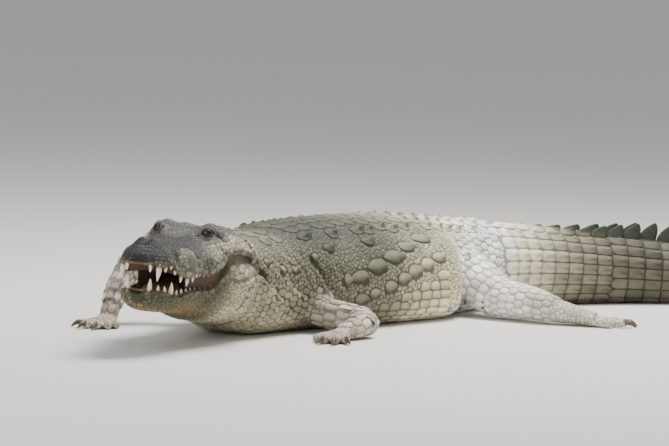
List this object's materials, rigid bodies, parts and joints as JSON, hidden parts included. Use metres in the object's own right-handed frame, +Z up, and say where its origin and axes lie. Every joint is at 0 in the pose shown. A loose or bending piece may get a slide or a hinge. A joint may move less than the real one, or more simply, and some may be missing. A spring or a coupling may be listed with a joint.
{
  "type": "mugger crocodile",
  "caption": "Life-size still model of a heavy crocodile resting on its belly, head raised a little, jaws slightly open, body bent, hind leg stretched back",
  "frame": {"origin": "middle of the flat that the belly rests on, on the floor, 1.6 head lengths behind the skull along the spine", "axes": "+Z up; +X is the model's longest horizontal extent, roughly from the head towards the tip of the tail; the left flank faces -Y and the head turns towards -Y"},
  "size_m": [2.8853, 1.9951, 0.3535],
  "materials": {
    "hide_head": "satin",
    "hide_jaw": "satin",
    "hide_body": "satin",
    "hide_tail": "satin",
    "hide_limb": "satin",
    "tongue": "satin",
    "eye": "gloss",
    "claw": "satin",
    "tooth": "satin",
    "mouth": "satin"
  },
  "bodies": {
    "root": {"claw_foot_left_1": "claw", "claw_foot_left_2": "claw", "claw_foot_left_3": "claw", "claw_foot_right_1": "claw", "claw_foot_right_2": "claw", "claw_foot_right_3": "claw", "claw_hand_left_1": "claw", "claw_hand_left_2": "claw", "claw_hand_left_3": "claw", "claw_hand_right_1": "claw", "claw_hand_right_2": "claw", "claw_hand_right_3": "claw", "eye_left": "eye", "eye_right": "eye", "foot_left": "hide_limb", "foot_right": "hide_limb", "forearm_left": "hide_limb", "forearm_right": "hide_limb", "hand_left": "hide_limb", "hand_right": "hide_limb", "head_upper": "hide_head", "jaw_lower": "hide_jaw", "neck": "hide_body", "shank_left": "hide_limb", "shank_right": "hide_limb", "tail_base": "hide_tail", "tail_end": "hide_tail", "tail_middle": "hide_tail", "thigh_left": "hide_limb", "thigh_right": "hide_limb", "tongue": "tongue", "trunk": "hide_body", "upper_arm_left": "hide_limb", "upper_arm_right": "hide_limb"}
  },
  "joints": []
}
